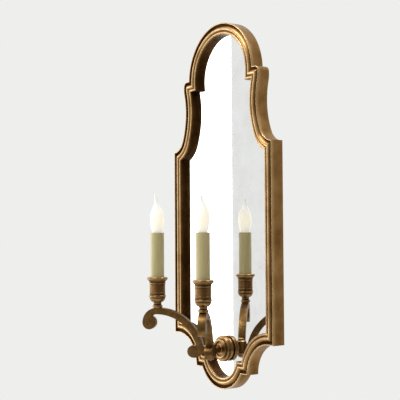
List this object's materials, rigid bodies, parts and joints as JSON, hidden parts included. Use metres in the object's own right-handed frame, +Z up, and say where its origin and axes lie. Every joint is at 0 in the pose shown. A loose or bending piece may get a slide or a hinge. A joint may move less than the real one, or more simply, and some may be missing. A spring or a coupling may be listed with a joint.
{
  "type": "double candle wall sconce with mirror back",
  "caption": "Tall arched mirror in an aged brass moulded frame, carrying scrolled arms with candle cups, candle sleeves and frosted flame lamps.",
  "frame": {"origin": "where the hub's axis meets the wall plane, at the centre of the wall crossbar", "axes": "+X to the right along the wall, +Y into the wall, +Z up"},
  "size_m": [0.266, 0.1221, 0.594],
  "materials": {
    "aged_brass_frame": "aged and burnished, satin",
    "aged_brass_fitting": "aged and burnished, satin",
    "antique_mirror": "silvered glass with faint antique specks",
    "backing_hardboard": "smooth hardboard",
    "tab_brass": "plain sheet",
    "zinc_steel": "zinc plated",
    "tube_brass": "plain machined",
    "lead_sheath": "matt",
    "lampholder_phenolic": "moulded",
    "candle_sleeve": "satin olive beige",
    "bulb_glass": "frosted",
    "bulb_cap": "bright",
    "filament_mount": "plain"
  },
  "bodies": {
    "sconce": {"side_band": "aged_brass_frame", "face_moulding": "aged_brass_frame", "hub_boss": "aged_brass_fitting", "boss_collar": "aged_brass_fitting", "hub_stem": "aged_brass_fitting", "arm_block": "aged_brass_fitting", "block_cap": "aged_brass_fitting", "arm_left": "aged_brass_fitting", "arm_right": "aged_brass_fitting", "foot_ring_left": "aged_brass_fitting", "foot_ring_right": "aged_brass_fitting", "candle_cup_left": "aged_brass_fitting", "candle_cup_right": "aged_brass_fitting", "mirror_plate": "antique_mirror", "backing_board": "backing_hardboard", "retaining_tabs": "tab_brass", "hanger_bar": "zinc_steel", "wall_crossbar": "zinc_steel", "rear_nut": "zinc_steel", "cup_nut_left": "zinc_steel", "cup_nut_right": "zinc_steel", "holder_bracket_left": "zinc_steel", "holder_bracket_right": "zinc_steel", "hub_nipple": "tube_brass", "arm_tube_left": "tube_brass", "arm_tube_right": "tube_brass", "cup_tube_left": "tube_brass", "cup_tube_right": "tube_brass", "screw_shell_left": "tube_brass", "screw_shell_right": "tube_brass", "centre_contact_left": "tube_brass", "centre_contact_right": "tube_brass", "arm_lead_left": "lead_sheath", "arm_lead_right": "lead_sheath", "lampholder_left": "lampholder_phenolic", "lampholder_right": "lampholder_phenolic"},
    "lamp_left": {"bulb_glass_left": "bulb_glass", "bulb_cap_left": "bulb_cap", "filament_left": "filament_mount"},
    "sleeve_left": {"candle_sleeve_left": "candle_sleeve"},
    "lamp_right": {"bulb_glass_right": "bulb_glass", "bulb_cap_right": "bulb_cap", "filament_right": "filament_mount"},
    "sleeve_right": {"candle_sleeve_right": "candle_sleeve"}
  },
  "joints": [
    {"name": "lamp_left_lift", "type": "slide", "parent": "sconce", "child": "lamp_left", "axis": [0, 0, 1], "range_m": [0, 0.03]},
    {"name": "sleeve_left_lift", "type": "slide", "parent": "sconce", "child": "sleeve_left", "axis": [0, 0, 1], "range_m": [0, 0.008]},
    {"name": "lamp_right_lift", "type": "slide", "parent": "sconce", "child": "lamp_right", "axis": [0, 0, 1], "range_m": [0, 0.03]},
    {"name": "sleeve_right_lift", "type": "slide", "parent": "sconce", "child": "sleeve_right", "axis": [0, 0, 1], "range_m": [0, 0.008]}
  ]
}
